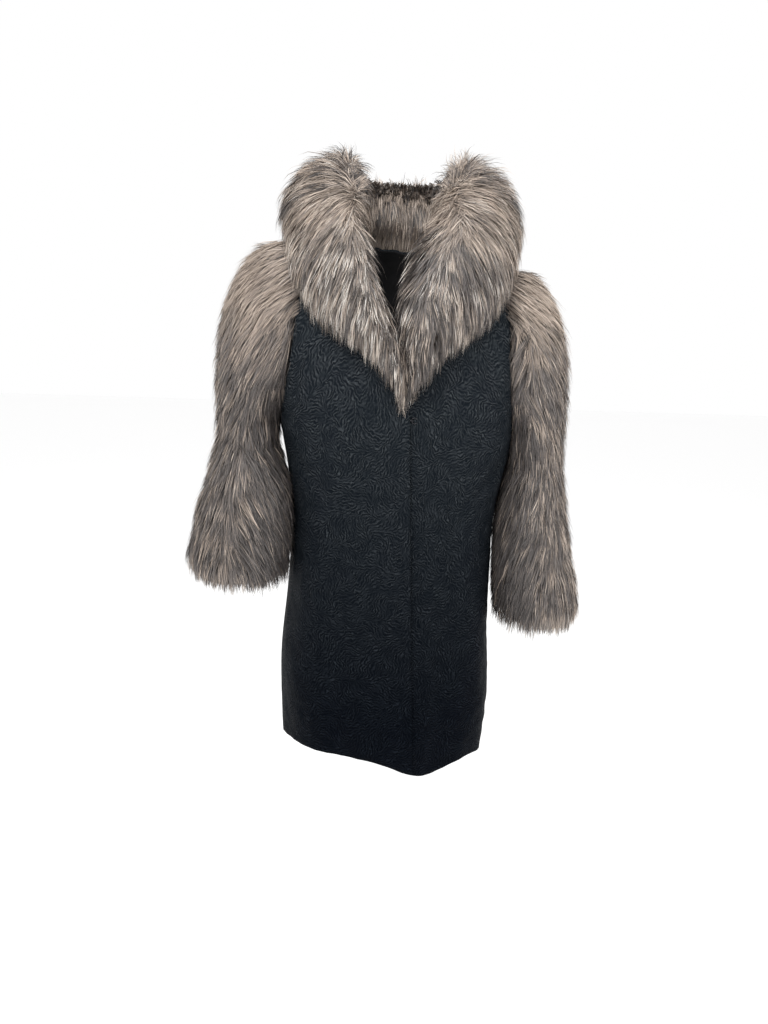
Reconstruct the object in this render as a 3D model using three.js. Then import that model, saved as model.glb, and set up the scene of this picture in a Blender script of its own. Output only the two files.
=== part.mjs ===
// Women's thigh-length fur coat in its worn form: flat curly lamb fronts and back, with a shawl
// collar and full sleeves of long-haired fox.
// Millimetres, +Z up. The front faces -Y and +X is the wearer's left.
// The origin is midway between the two points where shoulder seam and neckline meet, which is
// where the shoulders carry the coat.
import * as THREE from 'three';

// Walls and gaps
const PELT = 3.2; // curly lamb, leather and nap
const SEAM_GAP = 0.3; // between pieces that are sewn together
const LAP_LIFT = 6.6; // how far the upper front's edge stands off the body
const LAP_START = -78; // x where it begins to lift
const LAP_FULL = -38; // and where it is lifted in full
const COLLAR_STEP = { from: 10, to: 34 }; // x where the left collar comes down off the upper front
const SLEEVE_GAP = 0.9; // between the panels' edges and the sleeve set into them
const COLLAR_GAP = 1.5; // between the panels and the collar that lies on them

// Body
const UNDERARM = -262;
const HEM = -836;
const HEM_RISE = 48; // how much higher the hem hangs at centre front
const HEM_ROUND = 0.6; // how soon it rises from the sides
// Both fronts sag again near the opening: where the sag begins and ends across, and how deep it is
const HEM_SAG = { from: -40, full: 44, level: 60, to: 150, right: 24, left: 33 };
const BODY_POWER = 2.5; // squareness of the level sections
const SHOULDER_POWER = 2.3; // squareness of the curve over the shoulder
const SHOULDER_HALF = 200; // centre to shoulder tip
const SHOULDER_SLOPE = 0.2;
const NECK_ANGLE = 72; // the column that ends at the neck point
const BACK_NECK_DROP = 22; // degrees that the back neckline lies behind the shoulder seam
const LEAN = Math.tan(THREE.MathUtils.degToRad(3.8)); // the wearer's left side stands lower

// Half width and depths of the body by height
const BODY = [
  { z: -860, half: 175, front: 148, back: 145 },
  { z: -680, half: 180, front: 153, back: 148 },
  { z: -560, half: 166, front: 150, back: 140 },
  { z: -470, half: 157, front: 145, back: 130 },
  { z: -400, half: 156, front: 141, back: 122 },
  { z: -330, half: 169, front: 139, back: 120 },
  { z: -262, half: 184, front: 138, back: 124 },
];

// Soft hanging folds: where round the body, how wide in degrees, how deep at the hem
const DRAPE_GROWTH = 1.5; // from nothing at the underarm
const DRAPE = [
  { theta: 28, spread: 11, depth: 6 },
  { theta: 63, spread: 9, depth: -4 },
  { theta: 118, spread: 10, depth: 4 },
  { theta: 152, spread: 12, depth: -6 },
  { theta: -35, spread: 12, depth: -6 },
  { theta: -72, spread: 9, depth: 7 },
  { theta: -104, spread: 10, depth: -5 },
  { theta: -146, spread: 12, depth: 6 },
];

// Front opening: x of the upper front's edge and of the edge hidden under it, by height
const OPENING = [
  { z: -860, upper: 44, under: -30 },
  { z: -500, upper: 23, under: -34 },
  { z: -215, upper: 7, under: -30 },
];
const NECKLINE_FOOT = 8; // degrees of turn where the neckline meets the opening

// Neckline and outer edge of each collar half from centre back to the front tip. turn is 90 on
// the shoulder seam, less in front and more behind. rise is the thickness with its pile, lean
// and reach place its crest and its widest point, inLeft and inRight are how far the pile of
// each half fills the neck,
// upright turns the stand from square to the shoulder towards vertical, and square is 1 where
// it then stands square to its own width.
const COLLAR_COLUMNS = ['place', 'neckX', 'neckTurn', 'edgeX', 'edgeTurn',
  'rise', 'lean', 'reach', 'inLeft', 'inRight', 'upright', 'square'];
const COLLAR = [
  [0, 0, 112, 0, 146, 122, 6, 22, 10, 10, 2.4, 0.1],
  [0.2, 42, 110, 78, 144, 126, 3, 20, 13, 13, 2.6, 0.25],
  [0.36, 68, 101, 134, 130, 132, -6, 14, 26, 28, 2, 0.75],
  [0.5, 78, 90, 163, 98, 132, -12, 10, 44, 38, 1, 1],
  [0.62, 75, 66, 157, 60, 105, -2, 8, 67, 38, 0.3, 1],
  [0.75, 58, 44, 131, 39, 64, 10, 8, 74, 31, 0, 1],
  [0.86, 36, 28, 80, 27, 50, 12, 6, 56, 26, 0, 1],
  [0.94, 18, 17, 31, 18, 38, 6, 3, 22, 14, 0, 1],
  [1, 4, 10, 9, 8, 16, 2, 1, 3, 3, 0, 1],
].map((row) => Object.fromEntries(row.map((value, column) => [COLLAR_COLUMNS[column], value])));
const COLLAR_STAND = { left: 1, right: 0.91 }; // the wearer's right half has sunk a little
const COLLAR_STAND_BLEND = 4; // it has sunk in full a quarter of the way round
// The wearer's left half reaches past the middle of the front, by MEET.past at MEET.full
const MEET = { past: 13, from: 20, full: -40, level: -110, to: -165, gap: 1.2 };
const COLLAR_REACH = { left: 0.84, right: 0.97, from: 0.48, full: 0.64 }; // share of edgeX on the front
const COLLAR_SAG = { left: 0, right: 4 }; // degrees that a half's outer edge hangs lower
const COLLAR_ROWS = 26;
const COLLAR_ARCH_STEPS = 11;
// Points of a collar section between neckline and outer edge. across is in shares of its width,
// rise, inward and lean in shares of those columns, inward of inLeft or inRight.
const COLLAR_ARCH = [
  { across: 0, rise: 0.38, inward: 1, lean: 0 },
  { across: 0, rise: 0.86, inward: 0.6, lean: 1 },
  { across: 0.13, rise: 1, inward: 0, lean: 1 },
  { across: 0.6, rise: 0.8, inward: 0, lean: 0 },
  { across: 1, rise: 0.36, inward: 0, lean: 0 },
];
const COLLAR_UNDER_STEPS = 6;

// Sleeve sections below the armhole, out to the fur's tips: centre, half width, half depth
const SLEEVE_RIGHT = [
  { z: -538, out: 255, front: 40, wide: 60, deep: 60, fur: 6 },
  { z: -532, out: 253, front: 40, wide: 72, deep: 74, fur: 18 },
  { z: -512, out: 250, front: 39, wide: 80, deep: 84, fur: 26 },
  { z: -440, out: 241, front: 38, wide: 78, deep: 84, fur: 27 },
  { z: -375, out: 231, front: 32, wide: 67, deep: 81, fur: 27 },
  { z: -310, out: 235, front: 14, wide: 50, deep: 74, fur: 22 },
];
const SLEEVE_LEFT = [
  { z: -573, out: 253, front: 46, wide: 55, deep: 60, fur: 6 },
  { z: -566, out: 252, front: 46, wide: 66, deep: 73, fur: 18 },
  { z: -541, out: 250, front: 44, wide: 71, deep: 81, fur: 26 },
  { z: -460, out: 240, front: 40, wide: 68, deep: 82, fur: 27 },
  { z: -386, out: 232, front: 30, wide: 58, deep: 80, fur: 27 },
  { z: -310, out: 233, front: 14, wide: 49, deep: 74, fur: 22 },
];
const SLEEVE_ROWS = 14;
const CAP_ROWS = 7;
const CAP_FUR = 20; // pile at the armhole seam on top of the shoulder
const CAP_CORNER = { under: 0.35, top: 0.9 }; // how square the cap turns down from the seam
const CAP_LEDGE = 4.8; // the lining side starts further out below the arm
const BODY_SIDE_FUR = 0.5; // share of the pile left where the sleeve faces the body

// Creases at the elbow: height, angle round the sleeve (0 outward, 90 front), size and slant
const SLEEVE_CREASES = [
  { z: -292, angle: 60, tall: 16, spread: 55, slant: 0.45, depth: 9 },
  { z: -368, angle: 85, tall: 13, spread: 40, slant: -0.4, depth: 7 },
  { z: -330, angle: 250, tall: 15, spread: 50, slant: 0.3, depth: 7 },
  { z: -455, angle: 20, tall: 20, spread: 45, slant: 0.3, depth: 5 },
];

// Armholes: how far the panel's edge is cut in from the side, and rows up the armhole
const ARMHOLE_SCOOP = { front: 0.2, back: 0.12 };
const ARMHOLE_SCOOP_POWER = 0.7;
const ARMHOLE_ROWS = 10;
const ARMHOLE_ROW_POWER = 1.7; // rows lie closer together under the arm
const HEM_ROWS = 11;
const FRONT_COLUMNS = 12;
const BACK_COLUMNS = 20;

// Hook and eye
const HOOK_TURN = 3.8; // level of the closure, in degrees of turn
const WIRE = 0.8; // radius
const WIRE_FACES = { steps: 18, curveSegments: 4 };
const EYE = { radius: 4.2, start: 3, mouth: 30, steps: 8 }; // mouth is half its gap, in degrees
// Path of the hook: distance past the upper front's edge, and off the lower front
const HOOK = [
  { past: -9, off: 1 },
  { past: -1, off: 1 },
  { past: 3, off: 2 },
  { past: 6, off: 0.4 },
];

const COLOURS = {
  lamb: { color: 0x15181c, roughness: 0.5, metalness: 0 },
  fox: { color: 0x8f8277, roughness: 0.85, metalness: 0 },
  steel: { color: 0x2a2b2e, roughness: 0.3, metalness: 0.9 },
};

// Small steps that measure how a surface slopes
const STEP = { theta: 0.5, x: 0.5, down: 0.01, turn: 1 };

const { degToRad, radToDeg, lerp, smoothstep } = THREE.MathUtils;

const signedPower = (value, power) => Math.sign(value) * Math.abs(value) ** power;

// Reads every column of a table at one value of its key column, on a smooth curve through its rows
function readTable(table, key, value) {
  const upper = table.findIndex((row) => row[key] >= value);
  const high = upper < 0 ? table.length - 1 : Math.max(upper, 1);
  const rowAt = (n) => table[THREE.MathUtils.clamp(n, 0, table.length - 1)];
  const [before, start, end, after] = [high - 2, high - 1, high, high + 1].map(rowAt);
  const span = end[key] - start[key];
  const t = THREE.MathUtils.clamp((value - start[key]) / span, 0, 1);
  const result = {};
  for (const column of Object.keys(start)) {
    const slopeIn = (span * (end[column] - before[column])) / (end[key] - before[key] || span);
    const slopeOut = (span * (after[column] - start[column])) / (after[key] - start[key] || span);
    const bend = 3 * (end[column] - start[column]) - 2 * slopeIn - slopeOut;
    const twist = slopeIn + slopeOut - 2 * (end[column] - start[column]);
    result[column] = start[column] + t * (slopeIn + t * (bend + t * twist));
  }
  return result;
}

// Height of the shoulder seam, and of its line carried on over the neck
const neckHalf = SHOULDER_HALF * Math.cos(degToRad(NECK_ANGLE)) ** (2 / BODY_POWER);
const ridgeHeight = (x) => (neckHalf - Math.abs(x)) * SHOULDER_SLOPE;

const isFront = (theta) => theta > 0 && theta < 180;

function hemHeight(theta) {
  const towardsCentre = Math.abs(Math.sin(degToRad(theta))) ** HEM_ROUND;
  return HEM + (isFront(theta) ? HEM_RISE * towardsCentre : 0);
}

function drapeDepth(theta, down) {
  let depth = 0;
  for (const fold of DRAPE) {
    depth += fold.depth * Math.exp(-(((theta - fold.theta) / fold.spread) ** 2));
  }
  return depth * down ** DRAPE_GROWTH;
}

// Half width of the body above the underarm, by degrees of turn over the shoulder
function upperHalf(turn) {
  return lerp(readTable(BODY, 'z', UNDERARM).half, SHOULDER_HALF, Math.sin(degToRad(turn)));
}

// A point over the shoulder: turn is 0 in front at the underarm, 90 on the seam, 180 at the back
function shoulderPoint(x, turn) {
  const chest = readTable(BODY, 'z', UNDERARM);
  const share = Math.min(Math.abs(x) / upperHalf(turn), 1);
  const across = (1 - share ** BODY_POWER) ** (1 / BODY_POWER);
  const depth = turn < 90 ? chest.front : chest.back;
  const ahead = signedPower(Math.cos(degToRad(turn)), 2 / SHOULDER_POWER);
  const up = Math.sin(degToRad(turn)) ** (2 / SHOULDER_POWER);
  return new THREE.Vector3(x, -depth * across * ahead, lerp(UNDERARM, ridgeHeight(x), up));
}

// A point of the body: theta runs from the wearer's left side (0) over centre front (90) to the
// right side (180) and over the back below zero. level is -1 at the hem, 0 at the underarm and
// then degrees of turn up to the shoulder seam.
function bodyPoint(theta, level) {
  const angle = degToRad(theta);
  if (level > 0) {
    const x = upperHalf(level) * signedPower(Math.cos(angle), 2 / BODY_POWER);
    return shoulderPoint(x, isFront(theta) ? level : 180 - level);
  }
  const z = lerp(UNDERARM, hemHeight(theta), -level);
  const section = readTable(BODY, 'z', z);
  const drape = drapeDepth(theta, -level);
  const depth = (isFront(theta) ? section.front : section.back) + drape;
  const half = section.half + drape;
  const x = half * signedPower(Math.cos(angle), 2 / BODY_POWER);
  return new THREE.Vector3(x, -depth * signedPower(Math.sin(angle), 2 / BODY_POWER), z);
}

// Unit vector out of a surface that point(u, v) gives, away from a point inside it
function normalOf(point, u, v, stepU, stepV, inside) {
  const alongU = point(u + stepU, v).sub(point(u - stepU, v));
  const alongV = point(u, v + stepV).sub(point(u, v - stepV));
  const normal = alongU.cross(alongV).normalize();
  const outward = point(u, v).sub(inside);
  return normal.dot(outward) < 0 ? normal.negate() : normal;
}

function bodyNormal(theta, level) {
  const inside = new THREE.Vector3(0, 0, Math.min(bodyPoint(theta, level).z, UNDERARM));
  if (level >= 90) {
    return shoulderNormal(bodyPoint(theta, level).x, 90);
  }
  return normalOf(bodyPoint, theta, level, STEP.theta, level > 0 ? STEP.turn : STEP.down, inside);
}

function shoulderNormal(x, turn) {
  const inside = new THREE.Vector3(0, 0, UNDERARM);
  return normalOf(shoulderPoint, x, turn, STEP.x, STEP.turn, inside);
}

// Heights of the rows that all panels share: hem to underarm, then up the armhole
const turnOfRow = (row) => 90 * (row / ARMHOLE_ROWS) ** ARMHOLE_ROW_POWER;
const LEVELS = [];
for (let row = 0; row < HEM_ROWS; row++) {
  LEVELS.push(row / HEM_ROWS - 1);
}
for (let row = 0; row <= ARMHOLE_ROWS; row++) {
  LEVELS.push(turnOfRow(row));
}

// Angle of the body's column at x on a level of the given half width
function thetaAt(x, half) {
  const share = THREE.MathUtils.clamp(x / half, -1, 1);
  return radToDeg(Math.acos(signedPower(share, BODY_POWER / 2)));
}

function armholeTheta(turn, place) {
  const scoop = ARMHOLE_SCOOP[place] * Math.sin(degToRad(2 * turn)) ** ARMHOLE_SCOOP_POWER;
  return thetaAt(1 - scoop, 1);
}

// Neckline of the fronts, read from the collar that is sewn to it
const NECKLINE = COLLAR.map((row) => ({ turn: row.neckTurn, x: row.neckX })).reverse();
const necklineX = (turn) => readTable(NECKLINE, 'turn', turn).x;

// Every point takes its place through here, so that the whole coat leans alike
const leaned = (point) => new THREE.Vector3(point.x, point.y, point.z - LEAN * point.x);

// Joins an outer and an inner grid of points into one closed wall. A wrapped grid closes on
// itself across its columns.
function wall(outer, inner, wrapped) {
  const rows = outer.length;
  const columns = outer[0].length;
  const points = [...outer.flat(), ...inner.flat()];
  const index = [];
  const out = (row, column) => row * columns + (column % columns);
  const inn = (row, column) => rows * columns + out(row, column);
  const quad = (a, b, c, d) => index.push(a, b, c, a, c, d);
  const spans = wrapped ? columns : columns - 1;
  const last = rows - 1;
  for (let c = 0; c < spans; c++) {
    for (let r = 0; r < last; r++) {
      quad(out(r, c), out(r, c + 1), out(r + 1, c + 1), out(r + 1, c));
      quad(inn(r, c), inn(r + 1, c), inn(r + 1, c + 1), inn(r, c + 1));
    }
    quad(out(0, c), inn(0, c), inn(0, c + 1), out(0, c + 1));
    quad(out(last, c), out(last, c + 1), inn(last, c + 1), inn(last, c));
  }
  for (let r = 0; r < last && !wrapped; r++) {
    quad(out(r, 0), out(r + 1, 0), inn(r + 1, 0), inn(r, 0));
    quad(out(r, spans), inn(r, spans), inn(r + 1, spans), out(r + 1, spans));
  }
  return solid(points, index);
}

// Joins rings of points into one closed body with a fan over each end
function loft(rings) {
  const count = rings[0].length;
  const points = rings.flat();
  const index = [];
  for (let ring = 0; ring < rings.length - 1; ring++) {
    for (let k = 0; k < count; k++) {
      const a = ring * count + k;
      const b = ring * count + ((k + 1) % count);
      index.push(a, b, b + count, a, b + count, a + count);
    }
  }
  for (const [ring, flip] of [[0, true], [rings.length - 1, false]]) {
    const centre = rings[ring].reduce((sum, point) => sum.add(point), new THREE.Vector3());
    points.push(centre.divideScalar(count));
    for (let k = 0; k < count; k++) {
      const a = ring * count + k;
      const b = ring * count + ((k + 1) % count);
      index.push(...(flip ? [b, a] : [a, b]), points.length - 1);
    }
  }
  return solid(points, index);
}

// A geometry whose faces point out: turned round if the volume that they enclose is negative
function solid(points, index) {
  let volume = 0;
  for (let k = 0; k < index.length; k += 3) {
    const [a, b, c] = [points[index[k]], points[index[k + 1]], points[index[k + 2]]];
    volume += a.dot(new THREE.Vector3().crossVectors(b, c));
  }
  const geometry = new THREE.BufferGeometry().setFromPoints(points);
  geometry.setIndex(volume < 0 ? [...index].reverse() : index);
  geometry.computeVertexNormals();
  return geometry;
}

function piece(name, geometry, finish) {
  const mesh = new THREE.Mesh(geometry, new THREE.MeshStandardMaterial(COLOURS[finish]));
  mesh.name = name;
  return mesh;
}

// A panel of curly lamb: columnsAt gives the angles of a row, placeOf each point with its normal
// and how far it is lifted off the body
function panel(name, columnsAt, placeOf) {
  const outer = [];
  const inner = [];
  for (const level of LEVELS) {
    const places = columnsAt(level).map((theta) => placeOf(theta, level));
    const raised = (more) => places.map(({ point, normal, lift }) =>
      leaned(point.clone().addScaledVector(normal, lift + more)));
    outer.push(raised(0));
    inner.push(raised(-PELT));
  }
  return piece(name, wall(outer, inner, false), 'lamb');
}

// Evenly spaced values from one end to the other
function between(from, to, count) {
  return Array.from({ length: count + 1 }, (_, k) => lerp(from, to, k / count));
}

// The back is one panel up to the shoulder seams, cut out for the neck
function back() {
  const columnsAt = (level) => {
    const edge = level > 0 ? armholeTheta(level, 'back') : 0;
    return between(-edge, edge - 180, BACK_COLUMNS);
  };
  const placeOf = (theta, level) => {
    const fromCentre = Math.abs(theta + 90) / (90 - NECK_ANGLE);
    const neckDrop = fromCentre < 1 ? BACK_NECK_DROP * Math.cos((fromCentre * Math.PI) / 2) : 0;
    const top = level > 0 ? level * (1 - neckDrop / 90) : level;
    const point = bodyPoint(theta, top).add(new THREE.Vector3(0, SEAM_GAP / 2, 0));
    return { point, normal: bodyNormal(theta, top), lift: 0 };
  };
  return panel('back', columnsAt, placeOf);
}

// How far the upper front stands off the body, so that the under front passes below it
const lapLift = (x) => LAP_LIFT * smoothstep(x, LAP_START, LAP_FULL);

function hemSag(x, side) {
  const begun = smoothstep(x, HEM_SAG.from, HEM_SAG.full);
  const left = 1 - smoothstep(x, HEM_SAG.level, HEM_SAG.to);
  return HEM_SAG[side < 0 ? 'right' : 'left'] * begun * left;
}

// A front from its side seam and armhole to its opening edge and neckline. side is -1 for the
// wearer's right front, which lies on top.
function front(name, side) {
  const openingX = (z) => readTable(OPENING, 'z', z)[side < 0 ? 'upper' : 'under'];
  const columnsAt = (level) => {
    const edge = level > 0 ? armholeTheta(level, 'front') : 0;
    const seam = side > 0 ? edge : 180 - edge;
    const half = level > 0 ? upperHalf(level) : bodyPoint(0, level).x;
    const z = bodyPoint(90, level).z;
    const x = level > NECKLINE_FOOT ? side * necklineX(level) : openingX(z);
    return between(seam, thetaAt(x, half), FRONT_COLUMNS);
  };
  const placeOf = (theta, level) => {
    const point = bodyPoint(theta, level).add(new THREE.Vector3(0, -SEAM_GAP / 2, 0));
    const lift = side < 0 ? lapLift(point.x) : 0;
    if (level < 0) {
      point.z -= hemSag(point.x, side) * level ** 2;
    }
    return { point, normal: bodyNormal(theta, level), lift };
  };
  return panel(name, columnsAt, placeOf);
}

// The armhole seam on the wearer's left: rows 0 to ARMHOLE_ROWS from the underarm to the tip
function armholeSeam(row, place) {
  const thetaOf = (turn) => armholeTheta(turn, place) * (place === 'front' ? 1 : -1);
  const turn = turnOfRow(row);
  const point = bodyPoint(thetaOf(turn), turn);
  const shift = place === 'front' ? -SEAM_GAP / 2 : SEAM_GAP / 2;
  point.y += row > 0 && row < ARMHOLE_ROWS ? shift : 0;
  const normal = bodyNormal(thetaOf(turn), turn);
  const above = Math.min(turn + STEP.turn, 90);
  const below = Math.max(turn - STEP.turn, 0);
  const along = bodyPoint(thetaOf(above), above).sub(bodyPoint(thetaOf(below), below));
  const away = along.cross(normal).normalize();
  if (row === 0) {
    away.set(0, 0, 1);
  } else if (row === ARMHOLE_ROWS) {
    away.set(1, 0, -SHOULDER_SLOPE).normalize();
  }
  const fromInside = point.clone().sub(new THREE.Vector3(0, 0, UNDERARM - PELT));
  return { point, normal, away: away.dot(fromInside) < 0 ? away.negate() : away };
}

function creaseDepth(z, angle) {
  let depth = 0;
  for (const crease of SLEEVE_CREASES) {
    const turned = ((angle - crease.angle + 540) % 360) - 180;
    const off = (z - crease.z - crease.slant * turned) / crease.tall;
    depth += crease.depth * Math.exp(-(off ** 2) - (turned / crease.spread) ** 2);
  }
  return depth;
}

// One sleeve, set into the armhole and hanging: rings fan round the underarm until they are
// level, then follow the table down to the cuff. It is made on the wearer's left and mirrored.
function sleeve(name, side, table) {
  const columns = [];
  for (let row = 0; row <= ARMHOLE_ROWS; row++) {
    columns.push({ seam: armholeSeam(row, 'front'), angle: 180 - (180 * row) / ARMHOLE_ROWS });
  }
  for (let row = ARMHOLE_ROWS - 1; row > 0; row--) {
    columns.push({ seam: armholeSeam(row, 'back'), angle: 180 + (180 * row) / ARMHOLE_ROWS });
  }
  const top = table[table.length - 1].z;
  const ringPoint = (z, angle, share) => {
    const section = readTable(table, 'z', z);
    const crease = creaseDepth(z, angle);
    const [c, s] = [Math.cos(degToRad(angle)), Math.sin(degToRad(angle))];
    const pile = share * section.fur * (c < 0 ? lerp(1, BODY_SIDE_FUR, -c) : 1);
    const wide = section.wide - pile - crease;
    const deep = section.deep - pile - crease;
    return new THREE.Vector3(section.out + wide * c, -section.front - deep * s, z);
  };
  const grid = (share) => {
    const rows = [];
    for (let row = 0; row < CAP_ROWS; row++) {
      const t = row / CAP_ROWS;
      rows.push(columns.map(({ seam, angle }) =>
        capPoint(seam, ringPoint(top, angle, share), angle, share, t)));
    }
    for (let row = 0; row <= SLEEVE_ROWS; row++) {
      const z = lerp(top, table[0].z, row / SLEEVE_ROWS);
      rows.push(columns.map(({ angle }) => ringPoint(z, angle, share)));
    }
    return rows.map((points) => points.map((point) => leaned(point.setX(point.x * side))));
  };
  return piece(name, wall(grid(0), grid(1), true), 'fox');
}

// The sleeve cap swells from the armhole seam over to the first level ring. share is 0 on the
// fur's tips and 1 inside the sleeve.
function capPoint(seam, level, angle, share, t) {
  const outward = (1 + Math.cos(degToRad(angle))) / 2;
  const stand = share > 0 ? lerp(SEAM_GAP, -PELT, outward) : lerp(SEAM_GAP, CAP_FUR, outward);
  const beyond = SLEEVE_GAP + (share > 0 ? CAP_LEDGE * (1 - outward) : 0);
  const start = seam.point.clone().addScaledVector(seam.away, beyond);
  start.addScaledVector(seam.normal, stand);
  const turnDown = lerp(CAP_CORNER.under, CAP_CORNER.top, outward);
  const corner = new THREE.Vector3(level.x, level.y, lerp(level.z, start.z, turnDown));
  const curve = new THREE.QuadraticBezierCurve3(start, corner, level);
  return curve.getPoint(t);
}

// Where the two halves of the collar meet, across the front
function meetingLine(point) {
  const down = 1 - smoothstep(point.z, MEET.full, MEET.from);
  const up = smoothstep(point.z, MEET.to, MEET.level);
  return point.y < 0 ? -MEET.past * down * up : 0;
}

// One half of the shawl collar: a thick fold that stands at the neck, rolls over and lies on
// the shoulder and the front. side is -1 for the wearer's right half.
function collarHalf(name, side) {
  const half = side < 0 ? 'right' : 'left';
  const inwardColumn = side < 0 ? 'inRight' : 'inLeft';
  const underPoint = (x, turn) => {
    const onUpperFront = 1 - smoothstep(x, COLLAR_STEP.from, COLLAR_STEP.to);
    const covered = side < 0 ? lapLift(-x) : LAP_LIFT * onUpperFront;
    const lift = COLLAR_GAP + (turn < 90 ? covered : 0);
    return shoulderPoint(x, turn).addScaledVector(shoulderNormal(x, turn), lift);
  };
  const rings = between(0, 1, COLLAR_ROWS).map((place) => {
    const row = readTable(COLLAR, 'place', place);
    const rise = row.rise * lerp(1, COLLAR_STAND[half], Math.min(COLLAR_STAND_BLEND * place, 1));
    const onFront = smoothstep(place, COLLAR_REACH.from, COLLAR_REACH.full);
    const reach = lerp(1, COLLAR_REACH[half], onFront);
    const edgeX = lerp(row.neckX, row.edgeX, reach);
    const sag = COLLAR_SAG[half] * 4 * place * (1 - place);
    const edgeTurn = lerp(row.neckTurn, row.edgeTurn - sag, reach);
    const foot = underPoint(row.neckX, row.neckTurn);
    const edge = underPoint(edgeX, edgeTurn);
    const out = edge.clone().sub(foot);
    const width = out.length() + row.reach;
    out.normalize();
    const up = shoulderNormal(row.neckX, row.neckTurn);
    up.z += row.upright;
    up.normalize().addScaledVector(out, -row.square * up.dot(out)).normalize();
    const crest = COLLAR_ARCH.map((share) => {
      const inward = share.inward * row[inwardColumn];
      const along = share.across * width + share.lean * row.lean - inward;
      return foot.clone().addScaledVector(out, along).addScaledVector(up, share.rise * rise);
    });
    const curve = new THREE.CatmullRomCurve3([foot, ...crest, edge], false, 'centripetal');
    const arch = curve.getSpacedPoints(COLLAR_ARCH_STEPS);
    const under = between(1, 0, COLLAR_UNDER_STEPS + 1).slice(1, -1).map((share) =>
      underPoint(lerp(row.neckX, edgeX, share), lerp(row.neckTurn, edgeTurn, share)));
    const ownHalf = (point) => {
      const past = side * meetingLine(point);
      const gap = point.y < 0 ? MEET.gap : SEAM_GAP;
      return point.setX(side * Math.max(point.x, past + gap / 2));
    };
    return [...arch, ...under].map((point) => leaned(ownHalf(point)));
  });
  return piece(name, loft(rings), 'fox');
}

// A round wire along a path
function wire(name, points) {
  const path = new THREE.CatmullRomCurve3(points);
  const section = new THREE.Shape().absarc(0, 0, WIRE, 0, 2 * Math.PI);
  const geometry = new THREE.ExtrudeGeometry(section, { extrudePath: path, ...WIRE_FACES });
  return piece(name, geometry, 'steel');
}

// The closure under the collar's tip: an eye sewn to the under front and a hook that comes
// from below the upper front's edge
function closure() {
  const height = shoulderPoint(0, HOOK_TURN).z;
  const x = readTable(OPENING, 'z', height).upper;
  const surface = shoulderPoint(x, HOOK_TURN).y - SEAM_GAP - WIRE;
  const at = (past, up, off) => leaned(new THREE.Vector3(x + past, surface - off, height + up));
  const eye = between(EYE.mouth, 360 - EYE.mouth, EYE.steps).map((angle) => {
    const [c, s] = [Math.cos(degToRad(angle)), Math.sin(degToRad(angle))];
    return at(EYE.start + EYE.radius * (1 + c), EYE.radius * s, 0);
  });
  const hook = HOOK.map(({ past, off }) => at(past, 0, off));
  return [wire('closure_eye', eye), wire('closure_hook', hook)];
}

const coat = new THREE.Group();
coat.add(back(), front('front_right', -1), front('front_left', 1));
coat.add(sleeve('sleeve_right', -1, SLEEVE_RIGHT), sleeve('sleeve_left', 1, SLEEVE_LEFT));
coat.add(collarHalf('collar_right', -1), collarHalf('collar_left', 1));
coat.add(...closure());

export default coat;
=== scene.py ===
# A women's thigh-length fur coat as it is worn: curly lamb fronts and back, with a long-haired
# fox shawl collar and full fox sleeves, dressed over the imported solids.
# Metres. The front faces -Y, +Z is up and +X is the wearer's left.
import math

import bmesh
import bpy
import numpy as np
from mathutils import Matrix, Vector, noise
from mathutils.kdtree import KDTree


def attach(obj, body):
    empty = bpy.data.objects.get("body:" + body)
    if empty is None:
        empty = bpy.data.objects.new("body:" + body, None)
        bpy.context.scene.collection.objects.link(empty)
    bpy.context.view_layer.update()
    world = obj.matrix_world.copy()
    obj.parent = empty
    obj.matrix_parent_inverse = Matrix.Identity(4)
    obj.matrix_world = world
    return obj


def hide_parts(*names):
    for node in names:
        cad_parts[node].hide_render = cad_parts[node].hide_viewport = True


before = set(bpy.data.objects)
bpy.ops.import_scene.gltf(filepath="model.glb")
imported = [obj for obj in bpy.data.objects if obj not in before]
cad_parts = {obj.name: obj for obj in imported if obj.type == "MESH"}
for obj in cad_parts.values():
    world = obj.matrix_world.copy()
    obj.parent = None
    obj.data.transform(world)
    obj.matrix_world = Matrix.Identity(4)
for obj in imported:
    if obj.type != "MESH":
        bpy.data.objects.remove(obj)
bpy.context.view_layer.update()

# Camera: a phone held about 1.2 m in front of the coat, a little above and to the wearer's
# right of its middle, looking down at it and slightly rolled.
camera_lens = bpy.data.cameras.new("camera")
camera_lens.sensor_fit = "VERTICAL"
camera_lens.sensor_height = 36
camera_lens.lens = 26
camera = bpy.data.objects.new("camera", camera_lens)
camera.matrix_world = (
    Matrix.Translation((-0.113, -1.175, -0.055))
    @ Matrix.Rotation(math.radians(-5), 4, "Z")
    @ Matrix.Rotation(math.radians(73), 4, "X")
    @ Matrix.Rotation(math.radians(2.5), 4, "Z")
)
bpy.context.collection.objects.link(camera)
bpy.context.scene.camera = camera

# Curly lamb fronts and back: flat, near-black pelts with a moire of low worm-like curls. Each
# panel is a thin shell on its solid's form, with the soft folds of a hanging coat.


class Shade:
    """A socket of a finish; sums and products of shades add Math nodes."""

    def __init__(self, finish, socket):
        self.finish = finish
        self.socket = socket

    def _math(self, operation, first, second):
        return self.finish.add("ShaderNodeMath", {"operation": operation}, {0: first, 1: second})

    def __add__(self, other):
        return self._math("ADD", self, other)

    def __sub__(self, other):
        return self._math("SUBTRACT", self, other)

    def __rsub__(self, other):
        return self._math("SUBTRACT", other, self)

    def __mul__(self, other):
        return self._math("MULTIPLY", self, other)

    __radd__ = __add__
    __rmul__ = __mul__


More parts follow.
